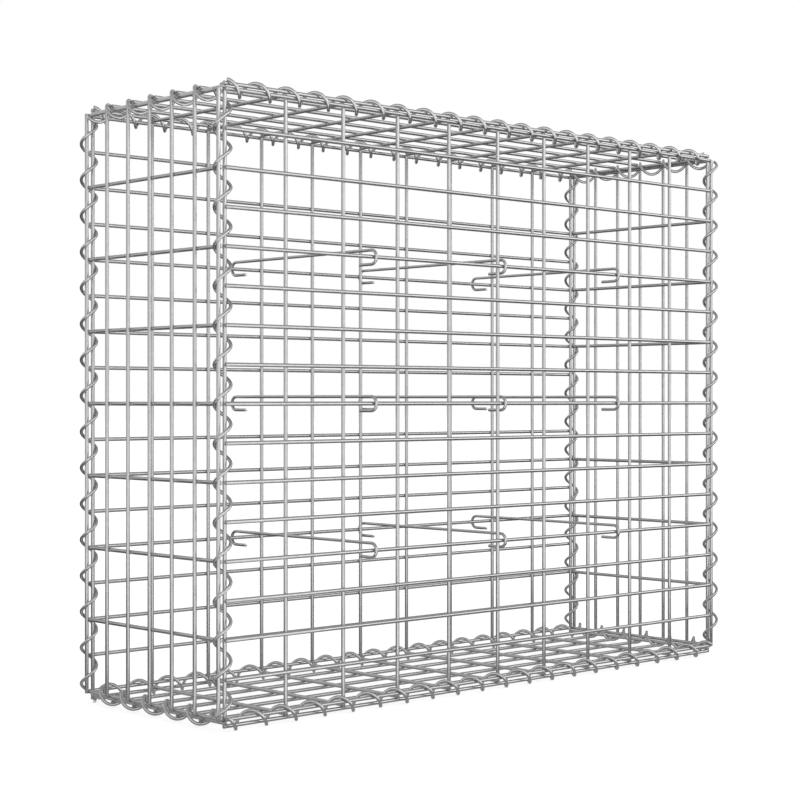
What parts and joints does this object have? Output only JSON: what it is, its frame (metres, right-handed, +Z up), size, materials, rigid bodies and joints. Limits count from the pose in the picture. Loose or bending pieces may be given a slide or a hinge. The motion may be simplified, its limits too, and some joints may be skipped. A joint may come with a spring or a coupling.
{
  "type": "gabion basket",
  "caption": "Rectangular gabion basket of welded wire mesh panels laced together along every edge by wire coils and braced by hooked spacers, to be filled with stone.",
  "frame": {"origin": "on the ground under the middle of the basket", "axes": "+Z up, +X along the long front, +Y from the front to the back"},
  "size_m": [1.036, 0.3298, 0.8315],
  "materials": {
    "mesh_wire": "hot-dip galvanised drawn wire, satin",
    "coil_wire": "galvanised spring wire, satin",
    "spacer_wire": "galvanised rod, satin"
  },
  "bodies": {
    "root": {"front_panel": "mesh_wire", "back_panel": "mesh_wire", "left_panel": "mesh_wire", "right_panel": "mesh_wire", "base_panel": "mesh_wire", "lid_panel": "mesh_wire", "coil_front_left": "coil_wire", "coil_front_right": "coil_wire", "coil_back_left": "coil_wire", "coil_back_right": "coil_wire", "coil_lid_front": "coil_wire", "coil_lid_back": "coil_wire", "coil_lid_left": "coil_wire", "coil_lid_right": "coil_wire", "coil_base_front": "coil_wire", "coil_base_back": "coil_wire", "coil_base_left": "coil_wire", "coil_base_right": "coil_wire", "spacer_low_left": "spacer_wire", "spacer_low_middle": "spacer_wire", "spacer_low_right": "spacer_wire", "spacer_middle_left": "spacer_wire", "spacer_middle_middle": "spacer_wire", "spacer_middle_right": "spacer_wire", "spacer_high_left": "spacer_wire", "spacer_high_middle": "spacer_wire", "spacer_high_right": "spacer_wire"}
  },
  "joints": []
}
